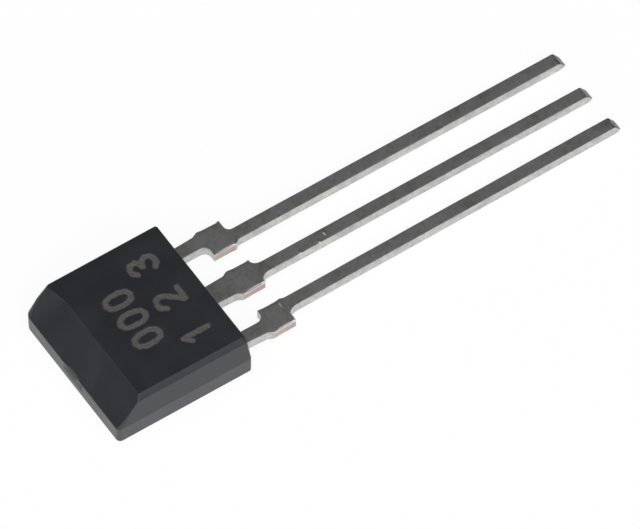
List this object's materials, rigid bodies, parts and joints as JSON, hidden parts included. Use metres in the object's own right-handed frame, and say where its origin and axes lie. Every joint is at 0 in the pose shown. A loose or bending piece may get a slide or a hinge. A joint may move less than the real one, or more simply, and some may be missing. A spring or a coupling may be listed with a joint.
{
  "type": "hall effect sensor",
  "caption": "Flat moulded Hall effect sensor with a sloping end, a bevelled pin 1 edge and three straight flat tinned leads in a row.",
  "frame": {"origin": "centre of the case's flat back face", "axes": "+Z out of the sensing face, leads along -Y, pins 1 to 3 one after another along +X"},
  "size_m": [0.0044, 0.0162, 0.0014],
  "materials": {
    "moulded_epoxy": "fine spark-eroded mould finish, black filled epoxy",
    "tinned_copper": "matte tin plating over copper alloy, bare copper at the sheared dam bar faces",
    "silicon": "polished silicon",
    "silver_epoxy": "cured silver-filled epoxy",
    "gold_wire": "drawn gold"
  },
  "bodies": {
    "root": {"case": "moulded_epoxy", "pin_1_lead": "tinned_copper", "pin_2_lead": "tinned_copper", "pin_3_lead": "tinned_copper", "hall_die": "silicon", "die_attach": "silver_epoxy", "bond_wire_1": "gold_wire", "bond_wire_2": "gold_wire", "bond_wire_3": "gold_wire"}
  },
  "joints": []
}
